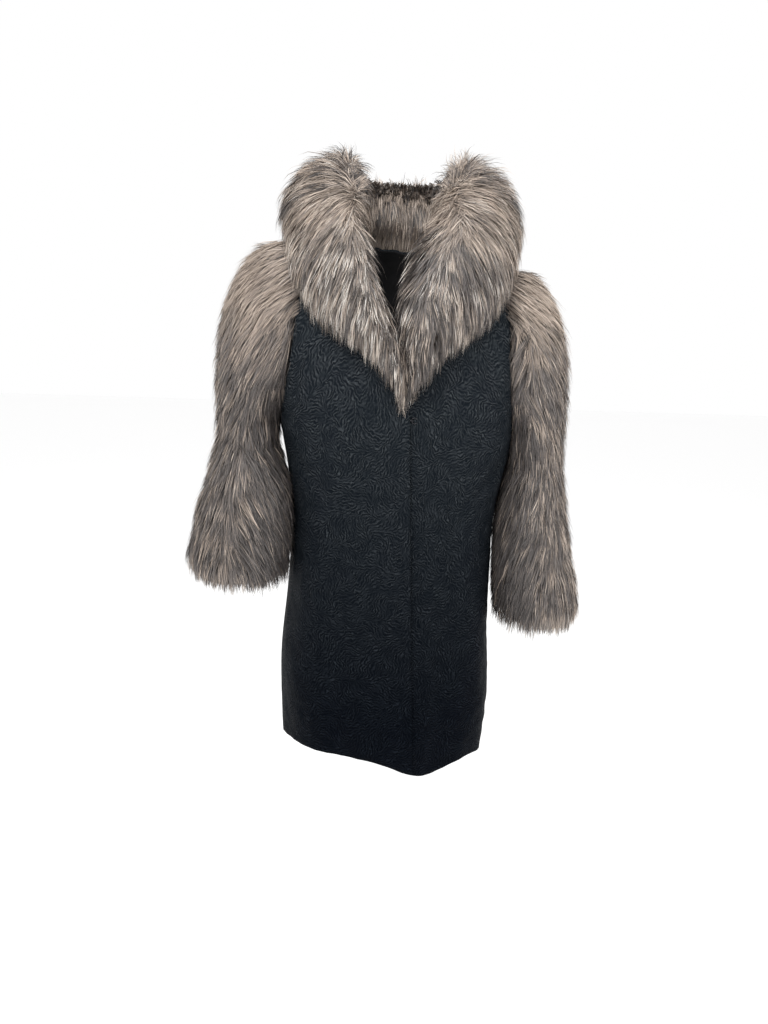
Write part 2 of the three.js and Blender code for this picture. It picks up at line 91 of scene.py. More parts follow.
class Finish:
    """One material while it is mixed, with a method for each kind of node it needs often."""

    def __init__(self, name):
        self.material = bpy.data.materials.new(name)
        self.material.use_nodes = True
        self.tree = self.material.node_tree
        self.tree.nodes.clear()

    def add(self, kind, settings, values, output=0):
        """Adds a node: its settings first, then the values or links of its sockets."""
        node = self.tree.nodes.new(kind)
        for setting, value in settings.items():
            if setting == "stops":
                for _ in range(len(value) - 2):
                    node.color_ramp.elements.new(0.5)
                for element, (place, colour) in zip(node.color_ramp.elements, value):
                    element.position = place
                    element.color = colour
            else:
                setattr(node, setting, value)
        for name, value in values.items():
            if isinstance(value, Shade):
                self.tree.links.new(value.socket, node.inputs[name])
            else:
                node.inputs[name].default_value = value
        return Shade(self, node.outputs[output])

    def spot(self):
        """The place on the piece itself."""
        return self.add("ShaderNodeTexCoord", {}, {}, "Object")

    def speckle(self, place, scale, detail, space="3D", output=0):
        """Noise at a place."""
        return self.add(
            "ShaderNodeTexNoise",
            {"noise_dimensions": space},
            {"Vector": place, "Scale": scale, "Detail": detail},
            output,
        )

    def spread(self, value, start, end, low=0.0, high=1.0, curve="SMOOTHSTEP"):
        """Turns the values from start to end into those from low to high."""
        return self.add(
            "ShaderNodeMapRange",
            {"interpolation_type": curve},
            {"Value": value, "From Min": start, "From Max": end, "To Min": low, "To Max": high},
        )

    def vector(self, operation, first, second):
        """Reckons with two vectors."""
        return self.add("ShaderNodeVectorMath", {"operation": operation}, {0: first, 1: second})

    def blend(self, share, first, second):
        """Mixes two colours."""
        return self.add(
            "ShaderNodeMix", {"data_type": "RGBA"}, {0: share, 6: first, 7: second}, output=2
        )

    def relief(self, height, distance):
        """Fine relief, as high as distance."""
        return self.add("ShaderNodeBump", {}, {"Distance": distance, "Height": height})

    def done(self, values):
        """Closes the material with one Principled shader and returns it."""
        shader = self.add("ShaderNodeBsdfPrincipled", {}, values)
        surface = self.tree.nodes.new("ShaderNodeOutputMaterial").inputs["Surface"]
        self.tree.links.new(shader.socket, surface)
        return self.material


def paint(red, green, blue):
    """The linear colour, opaque, of a screen colour from 0 to 255."""
    values = (red, green, blue)
    return (*(((v / 255 + 0.055) / 1.055) ** 2.4 if v > 10 else v / 3294 for v in values), 1)


def rounded_copy(node, levels, sharp):
    """The node's own surface as a new mesh: triangles merged to quads, then rounded, except
    for edges that turn by more than sharp degrees."""
    bm = bmesh.new()
    bm.from_mesh(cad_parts[node].data)
    bmesh.ops.remove_doubles(bm, verts=bm.verts, dist=1e-5)
    bmesh.ops.join_triangles(
        bm,
        faces=bm.faces,
        angle_face_threshold=math.radians(50),
        angle_shape_threshold=math.radians(70),
    )
    creases = bm.edges.layers.float.new("crease_edge")
    for edge in bm.edges:
        if edge.calc_face_angle(0) > math.radians(sharp):
            edge[creases] = 1
    mesh = bpy.data.meshes.new(node + "_form")
    bm.to_mesh(mesh)
    bm.free()
    blank = bpy.data.objects.new(node + "_form", mesh)
    bpy.context.collection.objects.link(blank)
    rounding = blank.modifiers.new("rounding", "SUBSURF")
    rounding.levels = rounding.render_levels = levels
    whole = bpy.data.meshes.new_from_object(
        blank.evaluated_get(bpy.context.evaluated_depsgraph_get())
    )
    bpy.data.objects.remove(blank)
    bpy.data.meshes.remove(mesh)
    return whole


def rows_of(items, field):
    """Places or directions of a mesh's vertices or faces, one row each."""
    rows = np.empty(3 * len(items))
    items.foreach_get(field, rows)
    return rows.reshape(-1, 3)


def unit_rows(rows):
    """Rows scaled to unit length."""
    return rows / np.maximum(np.linalg.norm(rows, axis=1, keepdims=True), 1e-9)


def piece_of(name, mesh, finishes, stands_for):
    """Puts a finished mesh in the scene as a piece of the coat."""
    piece = bpy.data.objects.new(name, mesh)
    bpy.context.collection.objects.link(piece)
    for finish in finishes:
        mesh.materials.append(finish)
    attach(piece, "root")
    if stands_for:
        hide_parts(*stands_for)
    return piece


UNDERARM = -0.262  # height of the armholes' lowest point
CHEST = 0.17  # rounded radius that lays a panel flat
HALF_DEPTH = 0.138  # of the body at the underarm, front to back
YOKE = 0.33  # length of a panel from the underarm over to the shoulder seam
SIDE_SEAM = 0.262  # where a panel's side edge lies in the flat cut
SEAM_SHIFT = 0.00014  # closes the two edges of a side seam


def laid_flat(points, behind):
    """Where each point of a panel lies in its flat cut: across and up."""
    x, y, z = points.T
    across = CHEST * (np.arctan2(-x, y) if behind else np.arctan2(x, -y))
    rise = np.maximum(z - UNDERARM, 0) / -UNDERARM
    turn = np.arctan2(rise, np.abs(y) / HALF_DEPTH) / (math.pi / 2)
    up = np.where(z > UNDERARM, UNDERARM + YOKE * turn, z)
    return np.stack([across, up], axis=1)


def crease_depth(flat, creases):
    """Depth of the listed folds at each point: centre, direction, length, width, depth."""
    depth = np.zeros(len(flat))
    for across, up, direction, length, width, deep in creases:
        c, s = math.cos(math.radians(direction)), math.sin(math.radians(direction))
        away = flat - (across, up)
        along = (away @ (c, s)) / length
        beside = (away @ (-s, c)) / width
        depth += deep * np.exp(-(along**2) - beside**2)
    return depth


def out_of_the_coat(points):
    """The direction away from the hollow of the coat, upward over the shoulders."""
    out = points * (0.7, 1, 0)
    out[:, 2] = np.maximum(points[:, 2] - UNDERARM, 0) * 1.2
    return unit_rows(out)


def lamb_panel(node, behind, creases, seed):
    """One pelt panel: its solid's form with folds and waves, the cut as its map, and the flesh
    side as the second material."""
    mesh = rounded_copy(node, levels=3, sharp=40)
    points = rows_of(mesh.vertices, "co")
    flat = laid_flat(points, behind)
    across_seams = np.abs(flat[:, 0])
    wave = np.array(
        [
            0.0022 * noise.noise((18 * u + seed, 9 * v, seed))
            + 0.0012 * noise.noise((55 * u, 55 * v, seed + 5))
            for u, v in flat
        ]
    )
    wave *= np.interp(across_seams, (0.225, SIDE_SEAM), (1, 0))
    points += out_of_the_coat(points) * (wave + crease_depth(flat, creases))[:, None]
    to_seam = np.interp(across_seams, (0.25, SIDE_SEAM), (0, SEAM_SHIFT))
    points[:, 1] += to_seam * (-1 if behind else 1)
    mesh.vertices.foreach_set("co", points.ravel())
    cut = mesh.uv_layers.new(name="cut")
    loops = np.empty(len(mesh.loops), dtype=np.int32)
    mesh.loops.foreach_get("vertex_index", loops)
    cut.uv.foreach_set("vector", flat[loops].astype(np.float32).ravel())
    mesh.update()
    mesh.shade_smooth()
    out = out_of_the_coat(rows_of(mesh.polygons, "center"))
    inside = (out * rows_of(mesh.polygons, "normal")).sum(axis=1) < -0.3
    mesh.polygons.foreach_set("material_index", inside.astype(np.int32))
    return mesh


curls = Finish("curly_lamb")
GABOR_TURN = 4  # socket of the curls' direction in the flat cut
in_the_cut = curls.add("ShaderNodeUVMap", {"uv_map": "cut"}, {})
sway = curls.speckle(in_the_cut, 120.0, 3.0, "2D", output="Color")
sway = curls.vector("SUBTRACT", sway, (0.5, 0.5, 0.5))
sway = curls.vector("MULTIPLY", sway, (0.009, 0.009, 0))
worms = curls.add(
    "ShaderNodeTexGabor",
    {"gabor_type": "2D"},
    {
        "Vector": curls.vector("ADD", in_the_cut, sway),
        "Scale": 84.0,
        "Frequency": 2.6,
        "Anisotropy": 0.75,
        GABOR_TURN: curls.speckle(in_the_cut, 14.0, 1.0, "2D") * 10.0,
    },
)
ridges = curls.spread(worms, 0.34, 0.8)
flatter = curls.spread(curls.speckle(in_the_cut, 44.0, 3.0, "2D"), 0.34, 0.6, 0.45, 1.0)
curl = ridges * flatter
nap = curls.speckle(in_the_cut, 900.0, 3.0, "2D")
height = curls.add("ShaderNodeSeparateXYZ", {}, {0: curls.spot()}, output="Z")
# Painted shade: the lamb is darker towards the hem, as the light falls off lower down.
painted_light_falloff = curls.spread(height, -0.72, -0.12, curve="LINEAR")  # darker towards the hem
# Painted sheen and shade: the ridges of the curls are painted lighter, as sheen that catches the
# light, and the hollows darker, as shade between them.
sheened_ridge_colour = curls.blend(painted_light_falloff, paint(21, 26, 33), paint(66, 70, 73))
shaded_hollow_colour = curls.blend(painted_light_falloff, paint(1, 3, 8), paint(20, 25, 30))
curly_lamb = curls.done(
    {
        "Base Color": curls.blend(curl, shaded_hollow_colour, sheened_ridge_colour),
        "Roughness": 0.62 - 0.12 * ridges,
        "Specular IOR Level": 0.02,
        "Normal": curls.relief(curl + nap * 0.12, 0.002),
    }
)

suede = Finish("lamb_flesh_side")
grain = suede.speckle(suede.spot(), 260.0, 4.0)
flesh_side = suede.done(
    {
        "Base Color": suede.blend(grain, paint(20, 20, 22), paint(32, 31, 33)),
        "Roughness": 0.8,
        "Normal": suede.relief(grain, 0.0003),
    }
)

# Folds: across and up in the flat cut, direction, length, width, depth
BACK_FOLDS = [
    (0.267, -0.43, 90, 0.13, 0.09, 0.006),
    (-0.267, -0.43, 90, 0.16, 0.1, 0.014),
    (0.1, -0.66, 86, 0.16, 0.03, -0.004),
    (-0.13, -0.62, 94, 0.2, 0.034, 0.004),
    (0.02, -0.7, 88, 0.14, 0.026, -0.003),
    (-0.05, -0.36, 12, 0.09, 0.014, -0.003),
    (0.08, -0.4, -9, 0.07, 0.012, 0.0025),
    (-0.17, -0.34, 52, 0.06, 0.014, -0.003),
    (0.17, -0.31, -48, 0.055, 0.013, -0.003),
]
RIGHT_FRONT_FOLDS = [
    (-0.267, -0.43, 90, 0.13, 0.09, 0.006),
    (-0.1, -0.64, 93, 0.17, 0.028, -0.0035),
    (-0.17, -0.6, 88, 0.2, 0.026, 0.0035),
    (-0.05, -0.72, 84, 0.11, 0.02, 0.003),
    (-0.16, -0.33, -40, 0.06, 0.013, -0.003),
    (-0.11, -0.44, 8, 0.05, 0.011, -0.002),
]
LEFT_FRONT_FOLDS = [
    (0.267, -0.43, 90, 0.16, 0.1, 0.014),
    (0.09, -0.66, 90, 0.16, 0.022, -0.004),
    (0.15, -0.62, 96, 0.18, 0.026, 0.004),
    (0.17, -0.33, 44, 0.055, 0.013, -0.003),
    (0.1, -0.46, -12, 0.05, 0.012, -0.002),
]
lamb_sheets = []
for node, behind, folds, flat, area, held in (
    ("back", True, BACK_FOLDS, (0.56, 0.98), 0.39, "hung"),
    ("front_right", False, RIGHT_FRONT_FOLDS, (0.32, 1.02), 0.19, "hung"),
    ("front_left", False, LEFT_FRONT_FOLDS, (0.32, 1.02), 0.19, "hung"),
):
    mesh = lamb_panel(node, behind, folds, seed=len(lamb_sheets))
    panel = piece_of("lamb_" + node, mesh, [curly_lamb, flesh_side], [node])
    lamb_sheets.append(panel)

# Shawl collar: two halves of long-haired fox that meet at centre back, stand round the neck,
# roll over and taper to a point on the front. Leather and dense under fur are a thin shell
# inside the pile; hairs grow from it, part along a whorl and end in cream tufts on the lapels.


def laid_on(rows, facing):
    """Rows with the part along facing taken away."""
    return rows - facing * (rows * facing).sum(axis=1, keepdims=True)


noise.seed_set(1)  # noise_vector shifts its places by this seed, or else by the clock


def swirls(place, fineness, shift):
    """A smooth random direction at each place."""
    return np.array([noise.noise_vector(Vector(p) * fineness + Vector(shift)) for p in place])


class Pelt:
    """The surface of a fox solid, which the tips of its pile reach."""

    def __init__(self, node, levels):
        self.mesh = rounded_copy(node, levels, sharp=65)
        self.points = rows_of(self.mesh.vertices, "co")
        self.normals = rows_of(self.mesh.vertex_normals, "vector")
        self.mesh.calc_loop_triangles()
        corners = np.empty(3 * len(self.mesh.loop_triangles), dtype=np.int32)
        self.mesh.loop_triangles.foreach_get("vertices", corners)
        self.corners = corners.reshape(-1, 3)

    def scatter(self, wanted, count, rng):
        """Places and normals of hairs, spread evenly where wanted(points, normals) is true."""
        a, b, c = (self.points[self.corners[:, k]] for k in range(3))
        cross = np.cross(b - a, c - a)
        area = np.linalg.norm(cross, axis=1) / 2
        area *= wanted((a + b + c) / 3, unit_rows(cross))
        picked = rng.choice(len(area), size=count, p=area / area.sum())
        share = rng.random((count, 2))
        share = np.where(share.sum(axis=1, keepdims=True) > 1, 1 - share, share)
        weight = np.stack([1 - share.sum(axis=1), share[:, 0], share[:, 1]], axis=1)[:, :, None]
        place = (self.points[self.corners[picked]] * weight).sum(axis=1)
        facing = (self.normals[self.corners[picked]] * weight).sum(axis=1)
        return place, unit_rows(facing)

    def skin(self, shift, wall):
        """Leather and under fur: the form moved by shift, with an inner side where wall is
        given."""
        mesh = self.mesh.copy()
        mesh.vertices.foreach_set("co", (self.points + shift).ravel())
        mesh.shade_smooth()
        mesh.update()
        if wall:
            bm = bmesh.new()
            bm.from_mesh(mesh)
            inner = bmesh.ops.duplicate(bm, geom=bm.faces[:])["geom"]
            faces = [g for g in inner if isinstance(g, bmesh.types.BMFace)]
            bmesh.ops.reverse_faces(bm, faces=faces)
            for vert in [g for g in inner if isinstance(g, bmesh.types.BMVert)]:
                vert.co += vert.normal * wall
            bm.to_mesh(mesh)
            bm.free()
        return mesh


STRAY = 0.05  # share of its length by which a hair strays from its way
HAIRS_A_CLUMP = 8
# Share of a hair's width at places along its length, for plump under hairs and fine guard hairs
SHORT_TAPER = ((0, 0.8), (0.5, 1))
LONG_TAPER = ((0, 0.7), (0.38, 1), (0.72, 0.66))


class Pile:
    """Flat tapering hairs of one fox piece, gathered layer by layer into one mesh."""

    def __init__(self, rng):
        self.rng = rng
        self.points, self.palette, self.normals, self.loops, self.sides = [], [], [], [], []
        self.count = 0

    def grow(self, tip, facing, way, run, depth, width, tone, clump, gather, taper):
        """Adds hairs that rise from under the surface, bend over and lie along way. Tips within
        gather of a leading hair draw towards its tip by the share clump."""
        rng, count = self.rng, len(tip)
        root = tip - way * run[:, None] - facing * depth[:, None]
        tip = tip + rng.normal(size=(count, 3)) * (STRAY * run)[:, None]
        leaders = rng.permutation(count)[: max(count // HAIRS_A_CLUMP, 1)]
        tree = KDTree(len(leaders))
        for k in leaders:
            tree.insert(root[k], int(k))
        tree.balance()
        lead = np.array([tree.find(p)[1] for p in root])
        apart = root - root[lead]
        near = np.linalg.norm(apart, axis=1) < gather
        pull = (clump * near)[:, None]
        tip = tip * (1 - pull) + (tip[lead] + apart * 0.12) * pull
        tone = np.where(near, tone * 0.3 + tone[lead] * 0.7, tone)
        tone = np.clip(tone + rng.normal(size=count) * 0.04, 0.01, 0.99)
        bend = root + facing * (0.85 * depth)[:, None] + way * (0.3 * run)[:, None]
        bend += rng.normal(size=(count, 3)) * (STRAY * run)[:, None]
        line = unit_rows(tip - root)
        flat_side = unit_rows(np.cross(line, facing))
        roll = rng.normal(size=count) * 0.6
        across = unit_rows(
            flat_side * np.cos(roll)[:, None] + np.cross(line, flat_side) * np.sin(roll)[:, None]
        )
        rings = len(taper)
        points = np.empty((count, 2 * rings + 1, 3))
        palette = np.empty((count, 2 * rings + 1, 2))
        palette[:, :, 0] = tone[:, None]
        for k, (t, wide) in enumerate(taper):
            middle = root * (1 - t) ** 2 + bend * (2 * t * (1 - t)) + tip * t**2
            half = across * (0.5 * wide * width)[:, None]
            points[:, 2 * k] = middle - half
            points[:, 2 * k + 1] = middle + half
            palette[:, 2 * k : 2 * k + 2, 1] = 0.02 + 0.96 * t
        points[:, -1] = tip
        palette[:, -1, 1] = 0.98
        quads = [n for k in range(rings - 1) for n in (2 * k, 2 * k + 1, 2 * k + 3, 2 * k + 2)]
        hair_loops = np.array([*quads, 2 * rings - 2, 2 * rings - 1, 2 * rings])
        first = self.count + (2 * rings + 1) * np.arange(count)
        self.loops.append((first[:, None] + hair_loops).ravel())
        self.palette.append(palette[:, hair_loops].reshape(-1, 2))
        self.sides.append(np.tile([4] * (rings - 1) + [3], count))
        self.points.append(points.reshape(-1, 3))
        own = np.cross(across, line)
        own *= np.sign((own * facing).sum(axis=1))[:, None]
        soft = unit_rows(facing * 0.7 + own * 0.4)
        self.normals.append(np.repeat(soft, 2 * rings + 1, axis=0))
        self.count += (2 * rings + 1) * count

    def mesh(self, name):
        """All hairs as one mesh: tone and height up the hair in its map, soft normals."""
        loops, sides = np.concatenate(self.loops), np.concatenate(self.sides)
        mesh = bpy.data.meshes.new(name)
        mesh.vertices.add(self.count)
        mesh.vertices.foreach_set("co", np.concatenate(self.points).ravel())
        mesh.loops.add(len(loops))
        mesh.loops.foreach_set("vertex_index", loops.astype(np.int32))
        mesh.polygons.add(len(sides))
        starts = np.cumsum(sides) - sides
        mesh.polygons.foreach_set("loop_start", starts.astype(np.int32))
        mesh.shade_smooth()
        mesh.update(calc_edges=True)
        palette = mesh.uv_layers.new(name="OFBake")
        palette.uv.foreach_set("vector", np.concatenate(self.palette).astype(np.float32).ravel())
        mesh.normals_split_custom_set_from_vertices(np.concatenate(self.normals))
        return mesh


LINE_STEPS = 240  # places on a line
AT_ONCE = 4000  # points compared with them in one go


def follow(points, line):
    """For each point: how far along the line its nearest place is (0 to 1), the vector from
    there, and the line's direction there."""
    steps = np.linspace(0, len(line) - 1, LINE_STEPS)
    line = np.array(line)
    path = np.stack([np.interp(steps, np.arange(len(line)), line[:, k]) for k in range(3)], axis=1)
    heading = unit_rows(np.gradient(path, axis=0))
    nearest = np.empty(len(points), dtype=np.int64)
    for start in range(0, len(points), AT_ONCE):
        part = points[start : start + AT_ONCE]
        apart = ((part[:, None] - path[None]) ** 2).sum(axis=2)
        nearest[start : start + AT_ONCE] = apart.argmin(axis=1)
    return nearest / (LINE_STEPS - 1), points - path[nearest], heading[nearest]


def hanging(way, droop):
    """The way of each hair, turned straight down by the share droop."""
    return unit_rows(way * (1 - droop)[:, None] - droop[:, None] * (0, 0, 1))


hair = Finish("fox_guard_hair")
on_the_hair = hair.add("ShaderNodeUVMap", {"uv_map": "OFBake"}, {})
tone_of_hair = hair.add("ShaderNodeSeparateXYZ", {}, {0: on_the_hair}, output="X")
up_the_hair = hair.add("ShaderNodeSeparateXYZ", {}, {0: on_the_hair}, output="Y")
# Colours by tone: black tipped, dark silver, silver, beige, cream tipped
base_colours = [
    (0.0, paint(112, 99, 89)),
    (0.12, paint(56, 52, 51)),
    (0.34, paint(70, 65, 62)),
    (0.5, paint(104, 94, 86)),
    (0.64, paint(120, 107, 97)),
    (0.76, paint(82, 74, 69)),
    (1.0, paint(72, 66, 62)),
]
tip_colours = [
    (0.0, paint(38, 34, 33)),
    (0.14, paint(76, 72, 71)),
    (0.34, paint(118, 111, 107)),
    (0.5, paint(160, 146, 134)),
    (0.64, paint(196, 179, 164)),
    (0.78, paint(226, 214, 201)),
    (1.0, paint(250, 246, 240)),
]
low = hair.add("ShaderNodeValToRGB", {"stops": base_colours}, {"Fac": tone_of_hair})
high = hair.add("ShaderNodeValToRGB", {"stops": tip_colours}, {"Fac": tone_of_hair})
late = hair.spread(tone_of_hair, 0.68, 0.76, high=0.2, curve="LINEAR")  # cream only at the tip
turning = hair.spread(up_the_hair - late, 0.22, 0.7)
guard_hair = hair.done(
    {
        "Base Color": hair.blend(turning, low, high),
        "Roughness": 0.5,
        "Specular IOR Level": 0.4,
    }
)

wool = Finish("fox_under_fur")
streaks = wool.speckle(wool.spot(), 420.0, 3.0)
patches = wool.speckle(wool.spot(), 30.0, 2.0)
under_fur = wool.done(
    {
        "Base Color": wool.blend(
            0.6 * streaks + 0.4 * patches, paint(40, 37, 36), paint(84, 77, 73)
        ),
        "Roughness": 0.9,
        "Normal": wool.relief(streaks, 0.0015),
    }
)

# Where the pile parts, from centre back over the roll to the whorl and down to the front tip
PARTINGS = {
    "left": [
        (0.0, 0.076, 0.092), (0.038, 0.075, 0.092), (0.066, 0.058, 0.1), (0.083, 0.02, 0.112),
        (0.085, -0.02, 0.11), (0.075, -0.052, 0.088), (0.06, -0.078, 0.06), (0.068, -0.13, 0.01),
        (0.052, -0.145, -0.035), (0.03, -0.15, -0.075), (0.02, -0.158, -0.12),
        (0.012, -0.16, -0.16), (0.008, -0.158, -0.2),
    ],
    "right": [
        (0.0, 0.076, 0.092), (-0.038, 0.075, 0.093), (-0.066, 0.058, 0.103), (-0.083, 0.018, 0.115),
        (-0.088, -0.025, 0.112), (-0.08, -0.068, 0.09), (-0.071, -0.101, 0.06),
        (-0.078, -0.133, 0.023), (-0.071, -0.147, -0.018), (-0.054, -0.159, -0.065),
        (-0.031, -0.168, -0.11), (-0.011, -0.166, -0.163), (-0.002, -0.158, -0.2),
    ],
}
WHORL = 6  # its place in each line
MEETING_X = -0.006  # where the two lapels meet
CREAM = {"left": 0.16, "right": 0.36}  # share of cream hairs on each lapel
OVERHANG = {"left": 0.003, "right": 0.007}  # of the hairs at the lapels' lower edges
TAIL = {"left": 0.0, "right": 0.013}  # more length of the hairs at the lapels' tips
CROWN = {"left": 0.015, "right": 0.01}  # how far the longest hairs rise over the roll

# Each layer: hairs, length, height of the tips over the solid, width, share drawn into a clump,
# reach of a clump, taper
COLLAR_LAYERS = (
    (10000, (0.022, 0.032), (-0.014, -0.007), (0.0019, 0.0027), 0.3, 0.006, SHORT_TAPER),
    (19000, (0.032, 0.048), (-0.009, -0.001), (0.001, 0.0016), 0.72, 0.007, LONG_TAPER),
    (9500, (0.038, 0.056), (-0.004, 0.006), (0.0005, 0.001), 0.45, 0.009, LONG_TAPER),
)


def collar_half(side, seed):
    """Pile and skin of one half of the collar."""
    rng = np.random.default_rng(seed)
    pelt = Pelt("collar_" + side, levels=2)
    line = PARTINGS[side]
    outward = 1 if side == "left" else -1
    pile = Pile(rng)

    def shown(points, facing):
        """Neither the sides that lie on the coat nor the seam at centre back."""
        below = facing[:, 2] < np.interp(points[:, 1], (0.03, 0.08), (-0.85, -0.25))
        behind_front = (facing[:, 1] > 0.35) & (points[:, 1] < -0.06)
        meets = (np.abs(points[:, 0]) < 0.003) & (points[:, 1] > 0)
        return ~(below | behind_front | meets)

    for layer, (count, lengths, stands, widths, clump, gather, taper) in enumerate(COLLAR_LAYERS):
        place, facing = pelt.scatter(shown, count, rng)
        share, away, heading = follow(place, line)
        across = laid_on(away - heading * (away * heading).sum(axis=1, keepdims=True), facing)
        far = np.linalg.norm(across, axis=1)
        from_whorl = laid_on(place - line[WHORL], facing)
        apart = np.linalg.norm(place - line[WHORL], axis=1)
        lapel = np.interp(share, (0.48, 0.62), (0, 1))
        standing = share < 0.5

        sideways = np.interp(share, (0.5, 0.58, 0.75, 1), (1, 0.75, 0.45, 0.3))
        falling = np.interp(share, (0.46, 0.54, 0.65, 1), (0, 0.7, 1.2, 1.5))
        falling += np.interp(far, (0.04, 0.1), (0, 0.6)) * (1 - lapel)
        loose = 0.3 + 0.7 * np.exp(-((far / 0.015) ** 2)) * (1 - 0.7 * lapel)
        way = across / (far + 0.018)[:, None] * sideways[:, None]
        way += from_whorl / (apart + 0.01)[:, None] * np.exp(-((apart / 0.045) ** 2))[:, None]
        way -= laid_on(np.tile((0.0, 0.0, 1.0), (count, 1)), facing) * falling[:, None]
        way += swirls(place, 24, (seed, 0, 0)) * 0.35
        way += swirls(place, 110, (0, seed, 0)) * loose[:, None]
        way = unit_rows(laid_on(way, facing))
        way = hanging(way, np.interp(-facing[:, 2], (0.1, 0.5), (0, 0.8)) * (share > 0.3))

        length = rng.uniform(*lengths, count) * np.interp(share, (0.62, 0.9, 1), (1, 0.75, 0.6))
        lying = np.where(
            standing,
            np.interp(far, (0, 0.03), (0.3, 1)) * (1, 1, 0.75)[layer],
            np.interp(apart, (0, 0.04), (0.35, 1)),
        )
        back = 0.85 * length * lying
        back = np.where(share < 0.48, np.minimum(back, far + 0.01), back)
        beyond = length * np.interp(share, (0.5, 0.7), (0.08, 0.16))
        beyond += np.interp(-facing[:, 2], (0, 0.4), (0, OVERHANG[side])) * lapel
        beyond += np.interp(share, (0.93, 1), (0, TAIL[side]))
        stand = rng.uniform(*stands, count) + np.interp(far, (0, 0.03), (0.004, 0)) * (1 - lapel)
        crown = (1 - lapel) * np.interp(facing[:, 2], (0.2, 0.7), (0, 1)) * CROWN[side]
        stand += crown * rng.uniform(*((0, 0.3), (0.1, 0.7), (0.2, 1.2))[layer], count)
        proud = (rng.random(count) < 0.3) & (layer == 2) & standing & (facing[:, 2] > -0.5)
        stand += proud * rng.uniform(0.002, 0.009, count)
        over_edge = np.interp(far, (0.07, 0.11), (0, 1)) * (1 - lapel)
        beyond += over_edge * rng.uniform(0.01, 0.034, count)
        room = np.interp(share, (0.5, 0.8, 1), (0.024, 0.014, 0.004))
        room -= np.interp(far, (0.03, 0.08), (0, 0.016)) * (1 - lapel)
        tip = place + way * beyond[:, None] + facing * stand[:, None]
        beside = np.abs(place[:, 0] - (place[:, 1] < 0) * MEETING_X * (share > 0.7))
        across_seam = np.interp(beside, (0, 0.02), (0.009, 0)) * rng.uniform(0.2, 1.5, count)
        tip[:, 0] -= outward * across_seam

        cream = rng.random(count) < (0, CREAM[side], CREAM[side] + 0.12)[layer]
        tufts = np.where(cream, rng.uniform(0.76, 1.0, count), rng.uniform(0.07, 0.4, count))
        if layer == 0:
            tufts = rng.uniform(0.1, 0.34, count)
        soft = (0.44, 0.55, 0.6)[layer] + rng.normal(size=count) * (0.05, 0.09, 0.12)[layer]
        tufted = np.interp(share, (0.52, 0.68), (0, 1))
        tone = soft * (1 - tufted) + tufts * tufted
        black = rng.random(count) < (0, 0.12, 0.42)[layer]
        black &= standing & (facing[:, 2] > -0.3)
        tone = np.where(black, rng.uniform(0.01, 0.07, count), tone)
        pile.grow(
            tip, facing, way, back + beyond, room + stand, rng.uniform(*widths, count),
            tone, clump, gather, taper,
        )
    form = Pelt("collar_" + side, levels=1)
    x, y, _ = form.points.T
    depth = np.interp(follow(form.points, line)[0], (0.5, 0.8, 1), (0.02, 0.011, 0.0025))
    shift = -form.normals * depth[:, None]
    shift[:, 0] *= 1 - (y > 0) * np.interp(np.abs(x), (0, 0.03), (1, 0))  # closed at centre back
    outer_back = np.interp(np.hypot(x, y - 0.02), (0.105, 0.13), (0, 1))
    outer_back *= np.interp(y, (0.04, 0.07), (0, 1)) * (form.normals[:, 1] > 0)
    downward = -form.normals[:, 2]
    lift = np.interp(downward, (0.2, 0.8), (0, 0.006)) * np.interp(y, (-0.08, -0.04), (1, 0))
    shift[:, 2] += lift + np.interp(downward, (0.05, 0.35), (0, 0.02)) * outer_back
    return pile.mesh("collar_pile_" + side), form.skin(shift, wall=0.0015)


for side, seed in (("left", 11), ("right", 12)):
    hairs, skin = collar_half(side, seed)
    pile = piece_of(f"collar_pile_{side}", hairs, [guard_hair], [])
    leather = piece_of(f"collar_skin_{side}", skin, [under_fur], ["collar_" + side])

# Sleeves: full fox sleeves set into the armholes, each bent at the elbow, with a band of long pile
# round the cuff that is painted paler, as light on its bulge, under a ring of painted shadow in the
# crease above it.
# Built like the collar, but the pile lies along each sleeve.

# The middle line of each sleeve, from the armhole to the cuff
SLEEVE_LINES = {
    "left": [
        (0.15, 0.0, -0.06), (0.195, 0.0, -0.13), (0.225, -0.012, -0.3), (0.24, -0.035, -0.42),
        (0.253, -0.046, -0.6),
    ],
    "right": [
        (-0.15, 0.0, -0.045), (-0.195, 0.0, -0.11), (-0.228, -0.012, -0.28),
        (-0.242, -0.036, -0.4), (-0.252, -0.04, -0.54),
    ],
}
# Height, and how far the pile swings outward there on the outer and on the inner front
SWINGS = {
    "left": (
        (-0.6, -0.4, -0.26, -0.225, -0.205, -0.12, 0),
        (0.06, 0.06, 0.1, 0.15, 0.2, 0.35, 0.55),
        (-0.1, -0.35, 0.1, 0.45, -0.4, -0.3, 0.1),
    ),
    "right": (
        (-0.6, -0.4, -0.27, -0.235, -0.2, -0.12, 0),
        (0.12, 0.16, 0.2, 0.2, 0.25, 0.2, 0.35),
        (-0.3, -0.6, -0.5, -0.1, 0.5, 0.4, 0.2),
    ),
}
